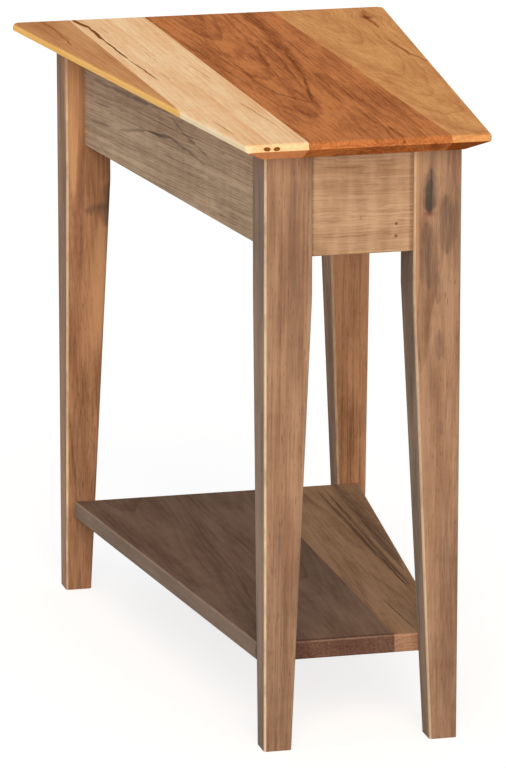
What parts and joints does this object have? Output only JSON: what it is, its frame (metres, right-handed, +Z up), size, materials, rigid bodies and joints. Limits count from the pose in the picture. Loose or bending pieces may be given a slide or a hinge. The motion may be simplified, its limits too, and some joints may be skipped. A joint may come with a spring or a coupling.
{
  "type": "wedge table",
  "caption": "Wedge-shaped wooden side table with a bevelled board top, slender tapered legs, deep aprons and a low shelf, all narrowing to the front.",
  "frame": {"origin": "on the floor, under the middle of the top's bounding box", "axes": "+Z up, +Y from the narrow front edge to the wide back edge, +X to the right as seen from the narrow front"},
  "size_m": [0.4096, 0.7, 0.61],
  "materials": {
    "pale_board": "oiled and waxed",
    "honey_board": "oiled and waxed",
    "reddish_board": "oiled and waxed",
    "golden_board": "oiled and waxed",
    "stained_frame": "oiled and waxed",
    "shelf_wood": "oiled and waxed",
    "hidden_wood": "bare wood",
    "zinc_steel": "zinc plated"
  },
  "bodies": {
    "root": {"top_board_left": "honey_board", "top_board_centre_left": "pale_board", "top_board_centre_right": "reddish_board", "top_board_right": "golden_board", "front_left_leg": "stained_frame", "front_right_leg": "stained_frame", "back_left_leg": "stained_frame", "back_right_leg": "stained_frame", "front_apron": "stained_frame", "back_apron": "stained_frame", "left_apron": "stained_frame", "right_apron": "stained_frame", "shelf_board_left": "shelf_wood", "shelf_board_centre": "shelf_wood", "shelf_board_right": "shelf_wood", "shelf_dowels": "hidden_wood", "front_left_glue_block": "hidden_wood", "front_right_glue_block": "hidden_wood", "back_left_glue_block": "hidden_wood", "back_right_glue_block": "hidden_wood", "tabletop_clips": "zinc_steel", "clip_screws": "zinc_steel"}
  },
  "joints": []
}
